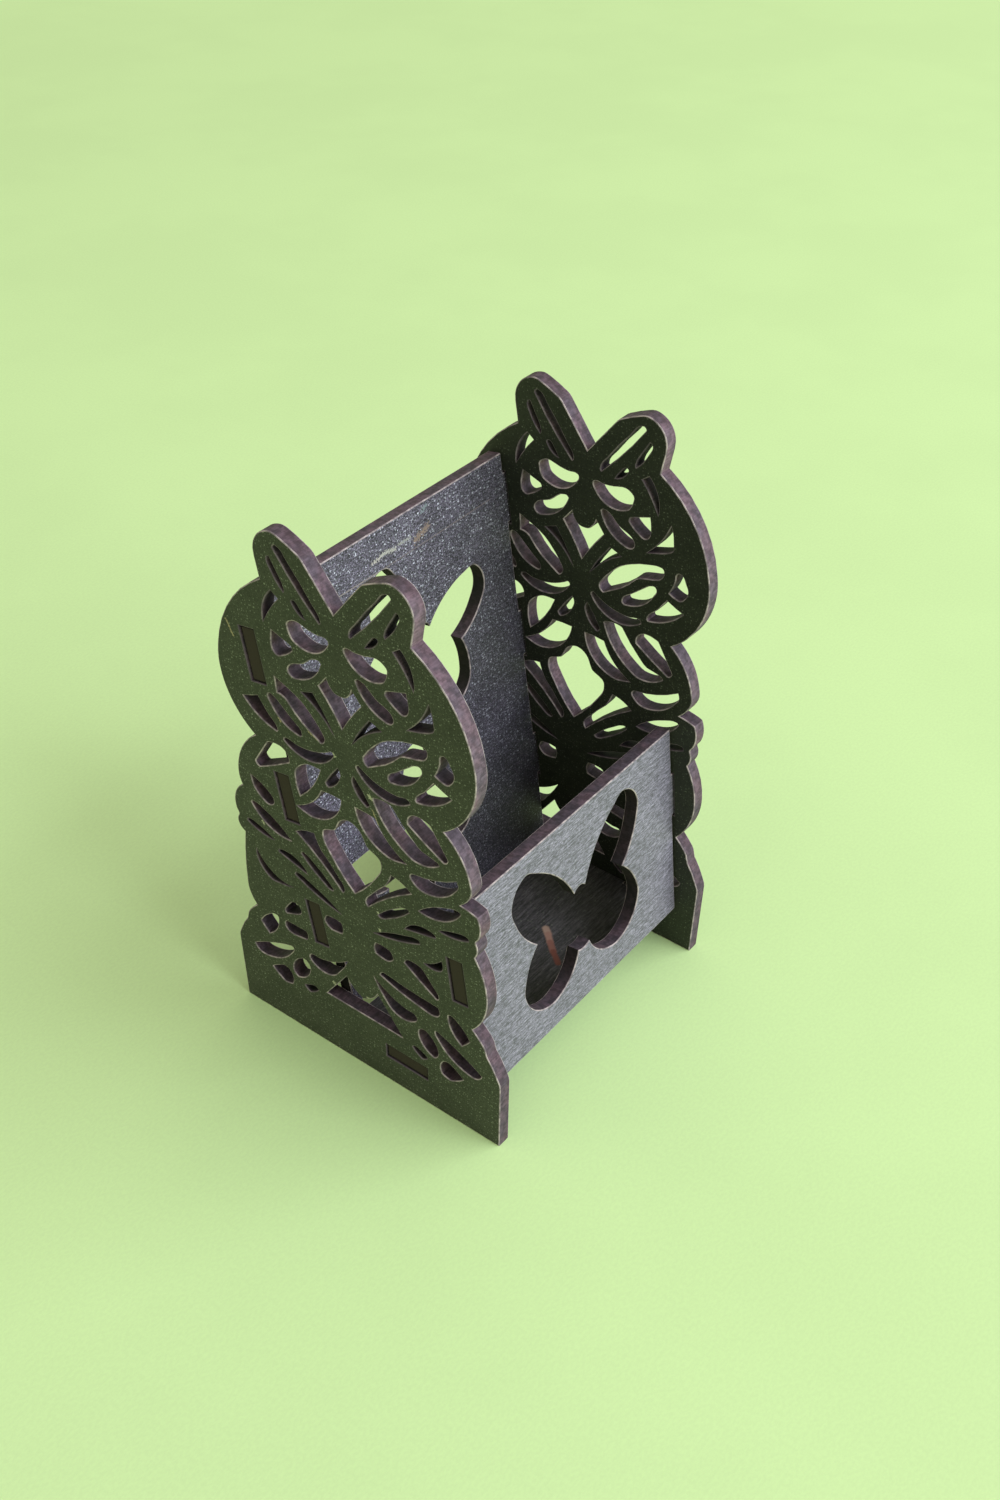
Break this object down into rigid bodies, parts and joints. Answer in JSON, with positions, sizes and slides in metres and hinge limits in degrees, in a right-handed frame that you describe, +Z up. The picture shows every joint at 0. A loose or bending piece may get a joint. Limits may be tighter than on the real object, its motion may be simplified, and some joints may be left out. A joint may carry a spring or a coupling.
{
  "type": "business card holder",
  "caption": "Desk holder for business cards, with pierced butterfly fretwork side boards joined by leaning front and back panels and a floor panel.",
  "frame": {"origin": "on the ground, under the middle of the holder", "axes": "+Z up, front faces -Y, +X towards the right side board as seen from the front"},
  "size_m": [0.072, 0.068, 0.118],
  "materials": {
    "left_side_board": "dark stained fibre board, matt",
    "right_side_board": "dark stained fibre board, matt",
    "front_panel": "dark stained fibre board with a faint brushed sheen",
    "back_panel": "dark stained fibre board, speckled",
    "floor_panel": "dark stained fibre board, matt"
  },
  "bodies": {
    "root": {"left_side_board": "left_side_board", "right_side_board": "right_side_board", "front_panel": "front_panel", "back_panel": "back_panel", "floor_panel": "floor_panel"}
  },
  "joints": []
}
